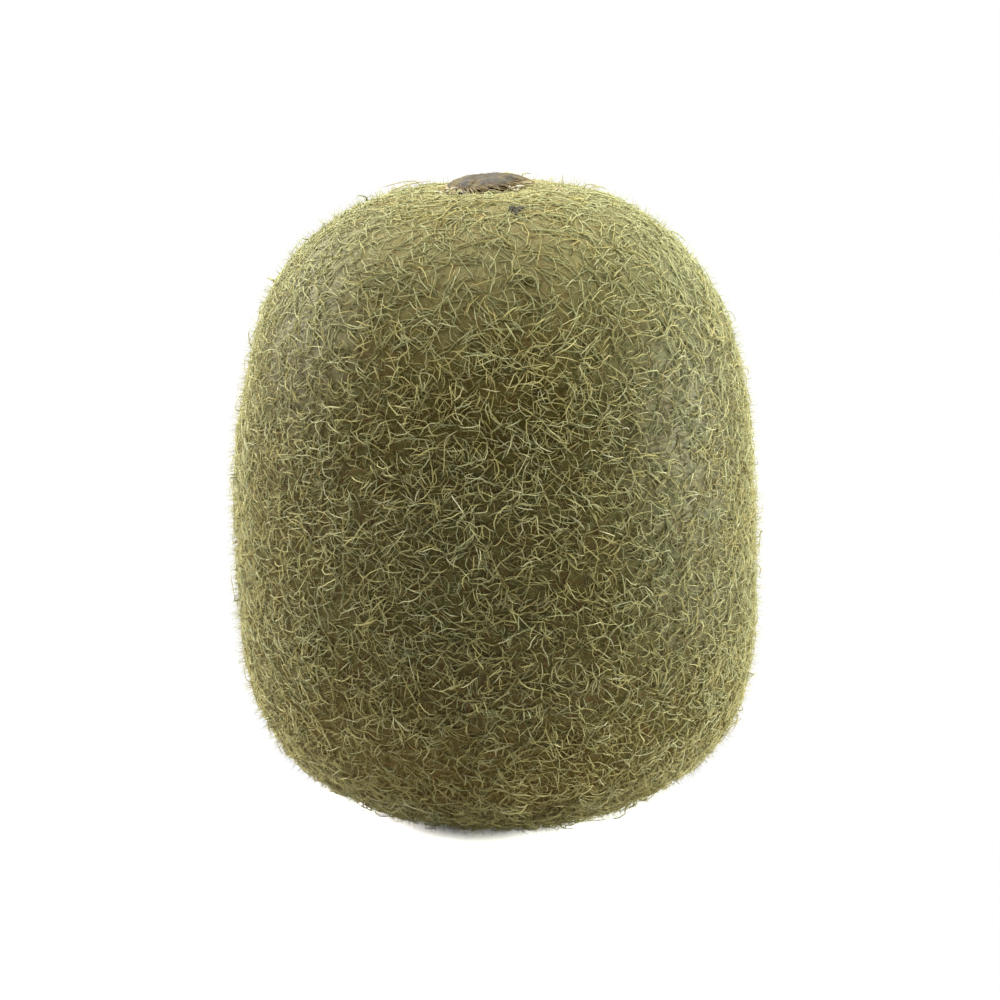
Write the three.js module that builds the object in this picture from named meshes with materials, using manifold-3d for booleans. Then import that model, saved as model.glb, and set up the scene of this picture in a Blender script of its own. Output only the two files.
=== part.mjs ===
// A whole kiwi fruit that stands on its blossom end. Millimetres, +Z up.
// The origin is the centre of the fruit's base, on the surface that it stands on.
// The fruit grew as one piece, so it is one solid: a blunt barrel with a shallow
// seat at the stem end, a woody button fused into that seat, and at the other end
// a flat standing ring around a dimple that holds the stub of the styles.

import * as THREE from "three";
import { mergeVertices } from "three/addons/utils/BufferGeometryUtils.js";
import Module from "manifold-3d";

const { degToRad, smoothstep } = THREE.MathUtils;

// The barrel.
const WIDTH = 52.3; // across the belly, along X
const DEPTH = 49.6; // across the belly, along Y: the fruit is a little flattened
const HEIGHT = 65; // from the base to the crown, before the seat is pressed in
const BELLY_Z = 30; // height of the widest ring
const STANDING_R = 4.8; // outer radius of the flat ring that the fruit stands on
const CROWN_POWERS = { radial: 2.8, axial: 2.55 }; // superellipse above the belly
const FOOT_POWERS = { radial: 2.15, axial: 3.65 }; // superellipse below the belly

// The blossom end: a dimple inside the standing ring, with the stub of the styles in it.
const DIMPLE_R = 2.7;
const DIMPLE_DEPTH = 0.8;
const STYLE_R = 1.3;
const STYLE_HEIGHT = 0.45;
const STYLE_EDGE = 0.08; // how much lower the stub's rim and middle stand than its shoulder

// How the fruit departs from an even barrel.
const LEAN = Math.tan(degToRad(1)); // the axis leans towards -X
const CROWN_TILT = Math.tan(degToRad(1.2)); // the crown rises towards +X
const LOBES = [
  { count: 2, height: 0.16, phase: 0.7 },
  { count: 3, height: 0.2, phase: 1.9 },
  { count: 5, height: 0.1, phase: 0.4 },
];
// Low swellings, and hollows with a rise below zero: where on the skin (angle about Z in
// degrees, height), how wide, and how far they rise.
const SWELLINGS = [
  { angle: -84, z: 55.5, radius: 4.2, rise: -0.28 },
  { angle: -106, z: 53, radius: 7, rise: -0.3 },
  { angle: -62, z: 48, radius: 8, rise: -0.22 },
  { angle: 20, z: 40, radius: 10, rise: -0.3 },
  { angle: 130, z: 46, radius: 9, rise: -0.35 },
  { angle: 205, z: 22, radius: 10, rise: -0.3 },
  { angle: 180, z: 57, radius: 6, rise: 0.35 },
  { angle: 180, z: 46, radius: 7, rise: -0.4 },
  { angle: 180, z: 6.5, radius: 4, rise: 0.25 },
  { angle: 0, z: 50, radius: 7, rise: 0.3 },
  { angle: 0, z: 9, radius: 6, rise: 0.3 },
];
const BASE_BLEND = { low: 0.5, high: 9 }; // heights between which these take hold
const AXIS_BLEND = 15; // distance from the axis at which they are whole

// The stem end: a shallow seat, and the woody button that the stalk broke away from.
const SEAT_X = -2.4; // the middle of the seat
const SEAT_Y = 0.6;
const SEAT_R = 6.2;
const SEAT_DEPTH = 0.75;
const STEM_X = -0.85; // the button stands a little off the axis
const STEM_Y = 1.5;
const STEM_Z = 64.45; // height of the skin under the middle of the button
const BUTTON_WIDTH = 7.8;
const BUTTON_DEPTH = 6.2;
const BUTTON_HEIGHT = 1.45; // above STEM_Z
const BUTTON_ROOT = 1.6; // how far the button goes down into the fruit
const BUTTON_ROLL = degToRad(4.5); // the button's +X side stands higher
const BUTTON_PITCH = degToRad(3); // and so does its +Y side
const DISH_DEPTH = 0.15; // how far the button's dish lies below its middle
const RIM_WAVES = [
  { count: 2, share: 0.035, phase: 0.5 },
  { count: 5, share: 0.03, phase: 1.1 },
  { count: 9, share: 0.022, phase: 2.6 },
  { count: 14, share: 0.014, phase: 0.2 },
];
const RIM_ROUGHNESS = 1.6; // rise of the rim, in mm, for a whole share of wave

// How finely the solids are faceted.
const SEGMENTS = 72;
const FOOT_RINGS = 20;
const CROWN_RINGS = 24;
const BUTTON_SEGMENTS = 42;
const FIRST_RING_GAP = 0.4; // between the standing ring and the first ring of the foot
const MERGE_DISTANCE = 1e-3;

const HALF_WIDTH = WIDTH / 2;
// The lower superellipse would end a little under the base, and the base cuts it off at STANDING_R.
const FOOT_HALF_HEIGHT =
  BELLY_Z /
  (1 - (STANDING_R / HALF_WIDTH) ** FOOT_POWERS.radial) **
    (1 / FOOT_POWERS.axial);

// A quarter of a superellipse, from the belly at t = 0 to the pole at t = 1.
class SuperQuarter extends THREE.Curve {
  constructor(radius, height, powers) {
    super();
    Object.assign(this, { radius, height, powers });
  }

  getPoint(t, target = new THREE.Vector2()) {
    const angle = (t * Math.PI) / 2;
    return target.set(
      this.radius * Math.max(Math.cos(angle), 0) ** (2 / this.powers.radial),
      this.height * Math.sin(angle) ** (2 / this.powers.axial),
    );
  }
}

const toPoints = (pairs) => pairs.map(([x, y]) => new THREE.Vector2(x, y));

// The base from the axis outwards: the stub's top, the floor and wall of the dimple, the standing ring.
function baseProfile() {
  const shoulder = DIMPLE_DEPTH - STYLE_HEIGHT;
  return toPoints([
    [0, shoulder + STYLE_EDGE],
    [STYLE_R * 0.7, shoulder],
    [STYLE_R, DIMPLE_DEPTH - STYLE_EDGE],
    [(STYLE_R + DIMPLE_R) / 2, DIMPLE_DEPTH],
    [DIMPLE_R * 0.92, DIMPLE_DEPTH / 2],
    [DIMPLE_R, 0],
    [(DIMPLE_R + STANDING_R) / 2, 0],
    [STANDING_R, 0],
  ]);
}

// The even barrel's outline, from the axis at the base to the axis at the crown.
function barrelProfile() {
  const foot = new SuperQuarter(HALF_WIDTH, FOOT_HALF_HEIGHT, FOOT_POWERS)
    .getSpacedPoints(FOOT_RINGS)
    .map((p) => new THREE.Vector2(p.x, BELLY_Z - p.y))
    .filter((p) => p.x > STANDING_R + FIRST_RING_GAP && p.y > 0)
    .reverse();
  const crown = new SuperQuarter(HALF_WIDTH, HEIGHT - BELLY_Z, CROWN_POWERS)
    .getSpacedPoints(CROWN_RINGS)
    .slice(1, -1)
    .map((p) => new THREE.Vector2(p.x, BELLY_Z + p.y));
  return [...baseProfile(), ...foot, ...crown, new THREE.Vector2(0, HEIGHT)];
}

// How far the lobes and swellings move the skin outwards, at an angle about Z and a height.
function swelling(angle, height) {
  let swell = 0;
  for (const lobe of LOBES)
    swell += lobe.height * Math.cos(lobe.count * angle + lobe.phase);
  for (const place of SWELLINGS) {
    const turn = angle - degToRad(place.angle);
    const across = HALF_WIDTH * Math.atan2(Math.sin(turn), Math.cos(turn));
    const distance = Math.hypot(across, height - place.z);
    swell += place.rise * Math.exp(-((distance / place.radius) ** 2));
  }
  return swell;
}

// Moves a point of the even barrel to where it lies on the fruit. The base stays flat.
function fruitForm(p) {
  const free = smoothstep(p.z, BASE_BLEND.low, BASE_BLEND.high);
  const radius = Math.hypot(p.x, p.y);
  const share = smoothstep(radius, 0, AXIS_BLEND) * free;
  const swell = share * swelling(Math.atan2(p.y, p.x), p.z);
  const scale = radius > 0 ? 1 + swell / radius : 1;
  const crown = smoothstep(p.z, BELLY_Z, HEIGHT);
  const x = p.x * scale - LEAN * (p.z - BELLY_Z) * free;
  const y = p.y * scale * (DEPTH / WIDTH);
  let z = p.z + CROWN_TILT * p.x * crown;
  if (p.z > BELLY_Z) {
    const fromSeat = Math.hypot(x - SEAT_X, y - SEAT_Y);
    z -= SEAT_DEPTH * Math.exp(-((fromSeat / SEAT_R) ** 2));
  }
  return p.set(x, y, z);
}

function fruitGeometry() {
  const geometry = new THREE.LatheGeometry(barrelProfile(), SEGMENTS);
  geometry.rotateX(Math.PI / 2);
  moveVertices(geometry, fruitForm);
  return geometry;
}

// Makes the button's even disc oval and its rim ragged. The root stays level.
function buttonForm(p) {
  const angle = Math.atan2(p.y, p.x);
  let wave = 0;
  for (const { count, share, phase } of RIM_WAVES)
    wave += share * Math.cos(count * angle + phase);
  const halfWidth = BUTTON_WIDTH / 2;
  const rim = smoothstep(Math.hypot(p.x, p.y), halfWidth * 0.3, halfWidth * 0.9);
  const rise = p.z > 0 ? RIM_ROUGHNESS * wave * rim : 0;
  const scale = 1 + wave;
  return p.set(
    p.x * scale,
    p.y * scale * (BUTTON_DEPTH / BUTTON_WIDTH),
    p.z + rise,
  );
}

// The woody button: a low cushion with a shallow round dish on top, above its root.
function buttonGeometry() {
  const r = BUTTON_WIDTH / 2;
  const top = BUTTON_HEIGHT;
  const dish = top - DISH_DEPTH;
  const profile = toPoints([
    [0, -BUTTON_ROOT],
    [r * 0.8, -BUTTON_ROOT],
    [r * 0.95, 0],
    [r, top * 0.25],
    [r * 0.94, top * 0.5],
    [r * 0.81, top * 0.76],
    [r * 0.64, top * 0.93],
    [r * 0.5, top],
    [r * 0.36, dish],
    [r * 0.2, dish],
    [0, top],
  ]);
  const geometry = new THREE.LatheGeometry(profile, BUTTON_SEGMENTS);
  geometry.rotateX(Math.PI / 2);
  moveVertices(geometry, buttonForm);
  geometry.rotateY(-BUTTON_ROLL);
  geometry.rotateX(BUTTON_PITCH);
  geometry.translate(STEM_X, STEM_Y, STEM_Z);
  return geometry;
}

function moveVertices(geometry, move) {
  const position = geometry.getAttribute("position");
  const p = new THREE.Vector3();
  for (let i = 0; i < position.count; i++) {
    move(p.fromBufferAttribute(position, i));
    position.setXYZ(i, p.x, p.y, p.z);
  }
}

const wasm = await Module();
wasm.setup();

// A closed geometry as a solid that can be joined to others.
function toSolid(geometry) {
  const bare = new THREE.BufferGeometry();
  bare.setAttribute("position", geometry.getAttribute("position"));
  bare.setIndex(geometry.index);
  const merged = mergeVertices(bare, MERGE_DISTANCE);
  return new wasm.Manifold(
    new wasm.Mesh({
      numProp: 3,
      vertProperties: merged.getAttribute("position").array,
      triVerts: new Uint32Array(merged.index.array),
    }),
  );
}

function toGeometry(solid) {
  const { numProp, vertProperties, triVerts } = solid.getMesh();
  const geometry = new THREE.BufferGeometry();
  geometry.setAttribute(
    "position",
    new THREE.BufferAttribute(vertProperties, numProp),
  );
  geometry.setIndex(new THREE.BufferAttribute(triVerts, 1));
  geometry.computeVertexNormals();
  geometry.computeBoundingBox();
  return geometry;
}

const skin = new THREE.MeshStandardMaterial({
  name: "kiwi_skin",
  color: "#867b45",
  roughness: 0.9,
  metalness: 0,
});

const fruit = new THREE.Mesh(
  toGeometry(toSolid(fruitGeometry()).add(toSolid(buttonGeometry()))),
  skin,
);
fruit.name = "kiwi_fruit";
// The fruit leans, so it is moved to bring its middle over the origin.
const middle = fruit.geometry.boundingBox.getCenter(new THREE.Vector3());
fruit.position.set(-middle.x, -middle.y, 0);

const kiwi = new THREE.Group();
kiwi.name = "kiwi";
kiwi.add(fruit);

export default kiwi;
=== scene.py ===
"""The looks of a whole kiwi fruit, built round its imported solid. Blender 4.5, metres, +Z up.

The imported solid's form is repeated here, finer. Only the stem button has an outline and a tilt of
its own. On it come the skin's grain, the dried styles, the scraps round the button and the hairs.
"""

import math

import bpy
import numpy as np
from mathutils import Matrix, Vector, noise
from mathutils.bvhtree import BVHTree


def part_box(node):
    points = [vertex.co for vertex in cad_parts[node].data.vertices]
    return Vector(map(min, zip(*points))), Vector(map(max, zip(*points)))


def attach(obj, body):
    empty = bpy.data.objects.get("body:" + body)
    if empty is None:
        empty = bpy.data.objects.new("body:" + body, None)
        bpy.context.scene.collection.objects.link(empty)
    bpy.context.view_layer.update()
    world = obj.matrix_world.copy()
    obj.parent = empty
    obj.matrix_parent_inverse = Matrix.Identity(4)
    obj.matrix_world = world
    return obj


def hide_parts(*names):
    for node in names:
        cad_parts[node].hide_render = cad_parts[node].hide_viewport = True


MM = 0.001
TURN = 2 * math.pi
ROUND = (0, TURN)
SEED = 11
MAP_NAME = "OFBake"

# ---- the form, as the solid has it

WIDTH = 52.3 * MM
DEPTH = 49.6 * MM
HEIGHT = 65 * MM
BELLY_Z = 30 * MM
STANDING_R = 4.8 * MM
CROWN_POWERS = (2.8, 2.55)  # superellipse above the belly: radial, axial
FOOT_POWERS = (2.15, 3.65)  # and below it

DIMPLE_R = 2.7 * MM
DIMPLE_DEPTH = 0.8 * MM
DIMPLE_WALL = 0.92  # share of the radius where the wall is half way up
STYLE_R = 1.3 * MM
STYLE_HEIGHT = 0.45 * MM
STYLE_EDGE = 0.08 * MM
STYLE_TOP = 0.7  # share of the stub's radius where it is lowest

LEAN = math.tan(math.radians(1))
CROWN_TILT = math.tan(math.radians(1.2))
# Lobes: count round the fruit, height, phase.
LOBES = ((2, 0.16 * MM, 0.7), (3, 0.2 * MM, 1.9), (5, 0.1 * MM, 0.4))
# Swellings and hollows: angle about Z in degrees, then height, radius and rise in mm.
SWELLINGS = (
    (-84, 55.5, 4.2, -0.28),
    (-106, 53, 7, -0.3),
    (-62, 48, 8, -0.22),
    (20, 40, 10, -0.3),
    (130, 46, 9, -0.35),
    (205, 22, 10, -0.3),
    (180, 57, 6, 0.35),
    (180, 46, 7, -0.4),
    (180, 6.5, 4, 0.25),
    (0, 50, 7, 0.3),
    (0, 9, 6, 0.3),
)
BASE_BLEND = (0.5 * MM, 9 * MM)  # heights between which these take hold
AXIS_BLEND = 15 * MM  # distance from the axis at which they are whole

SEAT_X = -2.4 * MM
SEAT_Y = 0.6 * MM
SEAT_R = 6.2 * MM
SEAT_DEPTH = 0.75 * MM
STEM_X = -0.85 * MM
STEM_Y = 1.5 * MM
STEM_Z = 64.45 * MM
BUTTON_WIDTH = 7.8 * MM
BUTTON_DEPTH = 6.2 * MM
BUTTON_HEIGHT = 1.45 * MM
BUTTON_ROOT = 1.6 * MM
BUTTON_ROLL = math.radians(6)  # the button's +X side stands higher
BUTTON_PITCH = math.radians(3)
DISH_DEPTH = 0.15 * MM
# Waves round the button's rim: count, share of the radius, phase.
RIM_WAVES = ((2, 0.035, 0.5), (5, 0.03, 1.1), (9, 0.022, 2.6), (14, 0.014, 0.2))
RIM_ROUGHNESS = 1.6 * MM

HALF_WIDTH = WIDTH / 2
BUTTON_OVAL = BUTTON_DEPTH / BUTTON_WIDTH
FOOT_HALF_HEIGHT = BELLY_Z / (1 - (STANDING_R / HALF_WIDTH) ** FOOT_POWERS[0]) ** (1 / FOOT_POWERS[1])

# ---- the skin's and hairs' own values

SKIN_SEGMENTS = 180
SKIN_STEP = 0.8 * MM  # between the rings of the sides
BASE_STEP = 0.2 * MM  # between the rings of the dimple and the standing ring
GRAIN_HEIGHT = 0.05 * MM
GRAIN_SIZE = 1.4 * MM
GRAIN_FOOT = 3 * MM
GRAIN_OCTAVE = (0.6, 2.1)  # how much weaker and finer each octave of the grain is

TUFTS = 2400
TUFT_HAIRS = (3, 5)
LOCKS = 8800
LOCK_HAIRS = (1, 2)
UNDER_HAIRS = 12500
FUZZ_HAIRS = 44000
COAT_STEPS = 4
UNDER_STEPS = 3
FUZZ_STEPS = 1
PIECE_TRIANGLES = 190000

# Where the coat is thin: angle in degrees, height and radius in mm, share that is missing.
BALD_PATCHES = (
    (-103, 58.7, 2.5, 0.35),
    (-128, 61.4, 3.5, 0.3),
    (-57, 59.8, 3, 0.35),
    (-98, 54, 2.5, 0.35),
    (-60, 30, 3, 0.3),
    (75, 50, 4, 0.5),
    (160, 38, 4, 0.4),
)

TINY = 1e-12  # instead of a length of zero

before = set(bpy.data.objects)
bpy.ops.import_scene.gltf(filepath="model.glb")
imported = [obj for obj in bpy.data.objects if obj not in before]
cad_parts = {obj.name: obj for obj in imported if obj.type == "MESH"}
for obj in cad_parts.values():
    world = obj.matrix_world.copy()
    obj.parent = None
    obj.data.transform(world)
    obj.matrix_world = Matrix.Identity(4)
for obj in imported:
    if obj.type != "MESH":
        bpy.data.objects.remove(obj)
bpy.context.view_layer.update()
rng = np.random.default_rng(SEED)


def ease(value, low, high):
    """0 at or below low, 1 at or above high, with an even slope at both ends."""
    t = np.clip((value - low) / (high - low), 0, 1)
    return t * t * (3 - 2 * t)


def unit(vectors):
    return vectors / np.maximum(np.linalg.norm(vectors, axis=-1, keepdims=True), TINY)


def waves(angle, table):
    """The table has rows of count, height and phase."""
    return sum(height * np.cos(count * angle + phase) for count, height, phase in table)


def circle(count):
    return np.linspace(0, TURN, count, endpoint=False)


def steps(points):
    return np.linspace(0, 1, points)[None]


def polar(radius, angle, z, oval=1):
    """Points about Z. oval is their depth over their width."""
    x, y = radius * np.cos(angle), radius * np.sin(angle) * oval
    return np.stack(np.broadcast_arrays(x, y, z), -1)


def uniform(span, shape):
    return rng.uniform(*span, shape)


def lumps(points, size):
    """A noise from about -0.5 to 0.5."""
    cells = (points / size).reshape(-1, 3)
    return np.array([noise.noise(Vector(c)) for c in cells]).reshape(points.shape[:-1])


def add_object(name, data):
    added = bpy.data.objects.new(name, data)
    bpy.context.scene.collection.objects.link(added)
    return added


# ---- camera, floor and light

PHOTO_SIDE = 1000  # pixels
PX_PER_METRE = 9785  # at the fruit's middle
MIDDLE_PX = (495.5, 501.3)  # where the fruit's middle lies in the frame
MIDDLE_Z = 32.5 * MM
CAMERA_DISTANCE = 0.5
CAMERA_ELEVATION = math.radians(12)
SENSOR = 36.0
WHITE = (1, 1, 1, 1)


def add_camera():
    data = bpy.data.cameras.new("camera")
    data.sensor_width = SENSOR
    data.lens = SENSOR * PX_PER_METRE * CAMERA_DISTANCE / PHOTO_SIDE
    data.clip_start = 0.01
    camera = add_object("camera", data)
    aside = (PHOTO_SIDE / 2 - MIDDLE_PX[0]) / PX_PER_METRE
    above = (MIDDLE_PX[1] - PHOTO_SIDE / 2) / PX_PER_METRE
    target = Vector((aside, 0, MIDDLE_Z + above / math.cos(CAMERA_ELEVATION)))
    back = Vector((0, -math.cos(CAMERA_ELEVATION), math.sin(CAMERA_ELEVATION)))
    camera.location = target + back * CAMERA_DISTANCE
    camera.rotation_euler = back.to_track_quat("Z", "Y").to_euler()
    bpy.context.scene.camera = camera


FLOOR_SIDE = 8.0
FLOOR_DROP = 0.02 * MM  # keeps the floor clear of the base


def add_floor():
    mesh = bpy.data.meshes.new("floor")
    half = FLOOR_SIDE / 2
    corners = [(-half, -half), (half, -half), (half, half), (-half, half)]
    mesh.from_pydata([(x, y, -FLOOR_DROP) for x, y in corners], [], [(0, 1, 2, 3)])
    mesh.materials.append(floor_material())
    floor = add_object("floor", mesh)
    floor.visible_glossy = False


# Softboxes: name, place, width, height, watts, colour, and whether it shows as a gloss.
SOFTBOXES = (
    ("top", (0, 0.1, 0.88), 0.8, 0.8, 23.2, (1, 1, 1), False),
    ("left", (-0.8, 0.17, 0.34), 0.6, 0.4, 12.6, (1, 0.97, 0.93), True),
    ("right", (0.8, 0, 0.02), 0.6, 0.4, 24.5, (0.98, 1, 0.92), True),
    ("back_left", (-0.6, 0.5, 0.45), 0.6, 0.4, 4.6, (0.88, 0.97, 1), True),
    ("back_right", (0.65, 0.5, 0.4), 0.6, 0.4, 1.9, (0.88, 0.98, 1), True),
)


def add_lights():
    for name, place, width, height, watts, colour, gloss in SOFTBOXES:
        data = bpy.data.lights.new(name, "AREA")
        data.shape = "RECTANGLE"
        data.size, data.size_y = width, height
        data.energy = watts
        data.color = colour
        light = add_object(name, data)
        light.location = place
        light.visible_glossy = gloss
        aim = Vector(place) - Vector((0, 0, MIDDLE_Z))
        light.rotation_euler = aim.to_track_quat("Z", "Y").to_euler()


def add_world():
    """White where the camera looks past the floor. It gives no light."""
    world = bpy.data.worlds.new("studio")
    world.use_nodes = True
    nodes, links = world.node_tree.nodes, world.node_tree.links
    background = nodes["Background"]
    background.inputs["Color"].default_value = WHITE
    seen = nodes.new("ShaderNodeLightPath").outputs["Is Camera Ray"]
    links.new(seen, background.inputs["Strength"])
    bpy.context.scene.world = world
    bpy.context.scene.view_settings.view_transform = "Standard"


# ---- making meshes


def add_mesh(name, vertices, quads, triangles, uv):
    """uv has a row for each face corner, quads first."""
    mesh = bpy.data.meshes.new(name)
    mesh.vertices.add(len(vertices))
    mesh.vertices.foreach_set("co", np.asarray(vertices, np.float32).ravel())
    corners = np.concatenate([quads.ravel(), triangles.ravel()]).astype(np.int32)
    sizes = np.repeat([4, 3], [len(quads), len(triangles)])
    starts = np.concatenate([[0], np.cumsum(sizes)[:-1]]).astype(np.int32)
    mesh.loops.add(len(corners))
    mesh.loops.foreach_set("vertex_index", corners)
    mesh.polygons.add(len(sizes))
    mesh.polygons.foreach_set("loop_start", starts)
    mesh.polygons.foreach_set("use_smooth", np.ones(len(sizes), bool))
    layer = mesh.uv_layers.new(name=MAP_NAME)
    layer.data.foreach_set("uv", np.asarray(uv, np.float32).ravel())
    mesh.update(calc_edges=True)
    mesh.validate()
    return add_object(name, mesh)


def ring_quads(rings, corners):
    """Quads between points that are numbered ring by ring."""
    ring, corner = np.divmod(np.arange((rings - 1) * corners), corners)
    low, high = ring * corners, (ring + 1) * corners
    after = (corner + 1) % corners
    return np.stack([low + corner, low + after, high + after, high + corner], 1)


def add_lathe(name, rings, bottom, top):
    """Closes rings, an array (ring, segment, xyz), with a point below and one above."""
    count, segments = rings.shape[:2]
    vertices = np.vstack([rings.reshape(-1, 3), [bottom], [top]])
    quads = ring_quads(count, segments)
    k = np.arange(segments)
    after = (k + 1) % segments
    low = np.full(segments, count * segments)
    last = (count - 1) * segments
    fans = [np.stack([low, after, k], 1), np.stack([low + 1, last + k, last + after], 1)]
    # On the map the rings lie one above the other, between the two points.
    i, j = np.divmod(quads[:, 0], segments)
    corners = [
        ([j, j + 1, j + 1, j], [i + 1, i + 1, i + 2, i + 2]),
        ([k + 0.5, k + 1, k], [0, 1, 1]),
        ([k + 0.5, k, k + 1], [count + 1, count, count]),
    ]
    uv = []
    for u, v in corners:
        u, v = np.broadcast_arrays(np.stack(u, -1) / segments, np.stack(v, -1) / (count + 1))
        uv.append(np.stack([u, v], -1).reshape(-1, 2))
    return add_mesh(name, vertices, quads, np.vstack(fans), np.vstack(uv))


# ---- the skin

CURVE_POINTS = 600


def quarter(radius, height, powers):
    """A quarter of a superellipse, from the belly to the pole: (across, up) rows."""
    angle = np.linspace(0, math.pi / 2, CURVE_POINTS)
    across = radius * np.maximum(np.cos(angle), 0) ** (2 / powers[0])
    return np.stack([across, height * np.sin(angle) ** (2 / powers[1])], 1)


def spaced(points, step):
    """The line with points about step apart."""
    along = np.concatenate([[0], np.cumsum(np.linalg.norm(np.diff(points, axis=0), axis=1))])
    at = np.linspace(0, along[-1], max(2, round(along[-1] / step) + 1))
    return np.stack([np.interp(at, along, points[:, k]) for k in (0, 1)], 1)


def barrel_outline():
    """Half the even barrel's outline, from the base to the crown."""
    shoulder = DIMPLE_DEPTH - STYLE_HEIGHT
    base = [
        (0, shoulder + STYLE_EDGE),
        (STYLE_R * STYLE_TOP, shoulder),
        (STYLE_R, DIMPLE_DEPTH - STYLE_EDGE),
        ((STYLE_R + DIMPLE_R) / 2, DIMPLE_DEPTH),
        (DIMPLE_R * DIMPLE_WALL, DIMPLE_DEPTH / 2),
        (DIMPLE_R, 0),
        (STANDING_R, 0),
    ]
    base = np.array(base)
    foot = quarter(HALF_WIDTH, FOOT_HALF_HEIGHT, FOOT_POWERS)
    foot[:, 1] = BELLY_Z - foot[:, 1]
    foot = foot[(foot[:, 0] > STANDING_R) & (foot[:, 1] > 0)][::-1]
    crown = quarter(HALF_WIDTH, HEIGHT - BELLY_Z, CROWN_POWERS)
    crown[:, 1] += BELLY_Z
    sides = np.vstack([base[-1:], foot, crown[1:]])
    return np.vstack([spaced(base, BASE_STEP)[1:-1], spaced(sides, SKIN_STEP)[:-1]])


def near(angle, z, about, height, radius):
    """1 at the angle about, in degrees, and height, fading out. height and radius are in mm."""
    turn = angle - math.radians(about)
    across = HALF_WIDTH * np.arctan2(np.sin(turn), np.cos(turn))
    return np.exp(-((np.hypot(across, z - height * MM) / (radius * MM)) ** 2))


def swelling(angle, z):
    """How far the lobes and swellings move the skin outwards."""
    swell = waves(angle, LOBES)
    for *place, rise in SWELLINGS:
        swell = swell + rise * MM * near(angle, z, *place)
    return swell


def fruit_form(p):
    """Moves points of the even barrel onto the fruit. The base stays flat."""
    x, y, z = p[..., 0], p[..., 1], p[..., 2]
    free = ease(z, *BASE_BLEND)
    radius = np.hypot(x, y)
    swell = ease(radius, 0, AXIS_BLEND) * free * swelling(np.arctan2(y, x), z)
    scale = 1 + swell / np.maximum(radius, TINY)
    crown = ease(z, BELLY_Z, HEIGHT)
    new_x = x * scale - LEAN * (z - BELLY_Z) * free
    new_y = y * scale * (DEPTH / WIDTH)
    from_seat = np.hypot(new_x - SEAT_X, new_y - SEAT_Y)
    seat = np.where(z > BELLY_Z, SEAT_DEPTH * np.exp(-((from_seat / SEAT_R) ** 2)), 0)
    return np.stack([new_x, new_y, z + CROWN_TILT * x * crown - seat], -1)


def grain(points, normals, height, size, octaves=3):
    """Moves points along their normals by a noise."""
    cells = points / size
    rise = [noise.fractal(Vector(c), *GRAIN_OCTAVE, octaves) for c in cells.reshape(-1, 3)]
    rise = np.array(rise).reshape(points.shape[:-1] + (1,))
    return points + normals * height * rise


def ring_normals(rings):
    around = np.roll(rings, -1, axis=1) - np.roll(rings, 1, axis=1)
    up = np.gradient(rings, axis=0)
    return unit(np.cross(around, up))


def build_skin():
    """The skin, and how far its form was moved to bring its middle over the origin."""
    outline = barrel_outline()
    rings = polar(outline[:, :1], circle(SKIN_SEGMENTS), outline[:, 1:])
    ends = np.array([(0, 0, DIMPLE_DEPTH - STYLE_HEIGHT + STYLE_EDGE), (0, 0, HEIGHT)])
    rings, ends = fruit_form(rings), fruit_form(ends)
    low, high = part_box("kiwi_fruit")
    middle = (rings.min((0, 1)) + rings.max((0, 1))) / 2
    offset = np.array([(low.x + high.x) / 2 - middle[0], (low.y + high.y) / 2 - middle[1], 0])
    rings, ends = rings + offset, ends + offset
    rough = GRAIN_HEIGHT * ease(rings[..., 2:], 0, GRAIN_FOOT)
    rings = grain(rings, ring_normals(rings), rough, GRAIN_SIZE)
    rings[..., 2] = np.maximum(rings[..., 2], 0)
    return add_lathe("kiwi_skin", rings, *ends), offset


# ---- the stem button

BUTTON_SEGMENTS = 180
BUTTON_STEP = 0.08 * MM
BUTTON_GRAIN = 0.045 * MM
WOOD_GRAIN = (0.8 * MM, 4)  # size and octaves
# The outline as shares of the half width and height: the root, up to the lip, above it.
ROOT_SHARE = 0.8
BUTTON_FOOT = ((0.9, 0), (0.91, 0.28))
BUTTON_CAP = ((0.97, 0.44), (0.97, 0.52), (0.86, 0.7), (0.66, 0.88), (0.48, 0.97))
DISH_SHARES = (0.36, 0.2)  # the edges of the dish's floor
RIM_SHARES = (0.3, 0.9)  # where the rim's waves take hold
WOOD_HEIGHTS = (-0.2 * MM, 0.3 * MM)  # and the wood's relief
# Fibres out from the middle and down the sides: count, share, phase, sway and the sway's count.
FIBRES = ((23, 0.5, 0, 1.7, 5), (41, 0.3, 2, 0, 0))
FIBRE_DEPTH = 0.045 * MM
FIBRE_LIFT = 1.2  # on the top, against the sides
FIBRE_SHARES = (0.4, 0.95)
SPLIT_SIZES = (1.9 * MM, 1.1 * MM)  # across the lumps between them
SPLIT_DEPTH = 0.045 * MM
SPLIT_WIDTH = 0.05  # in units of the noise
BACK_X = (0.1 * MM, 1.9 * MM)  # where the wood gets darker to the right
BACK_Y = (0.2 * MM, 1.7 * MM)  # and backwards
BACK_RAGGED = 0.8 * MM
BACK_SIZE = 0.7 * MM
LIP_SHARES = (0.38, 0.5)  # of the height
FURROW_SHARES = (0.5, 0.95)
FURROW_FULL = 0.8
DARKENING = (0.45, 0.9, 0.15, 0.75)  # painted shade in splits, under the lip and in furrows, and darker at the back


def place_button(points, offset):
    """Moves points of the level button to the stem end."""
    turn = Matrix.Rotation(BUTTON_PITCH, 3, "X") @ Matrix.Rotation(-BUTTON_ROLL, 3, "Y")
    return points @ np.array(turn).T + np.array([STEM_X, STEM_Y, STEM_Z]) + offset


def winding(points, size, width):
    """1 on winding lines, where a noise crosses zero, and 0 away from them."""
    return np.exp(-((lumps(points, size) / width) ** 2))


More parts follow.
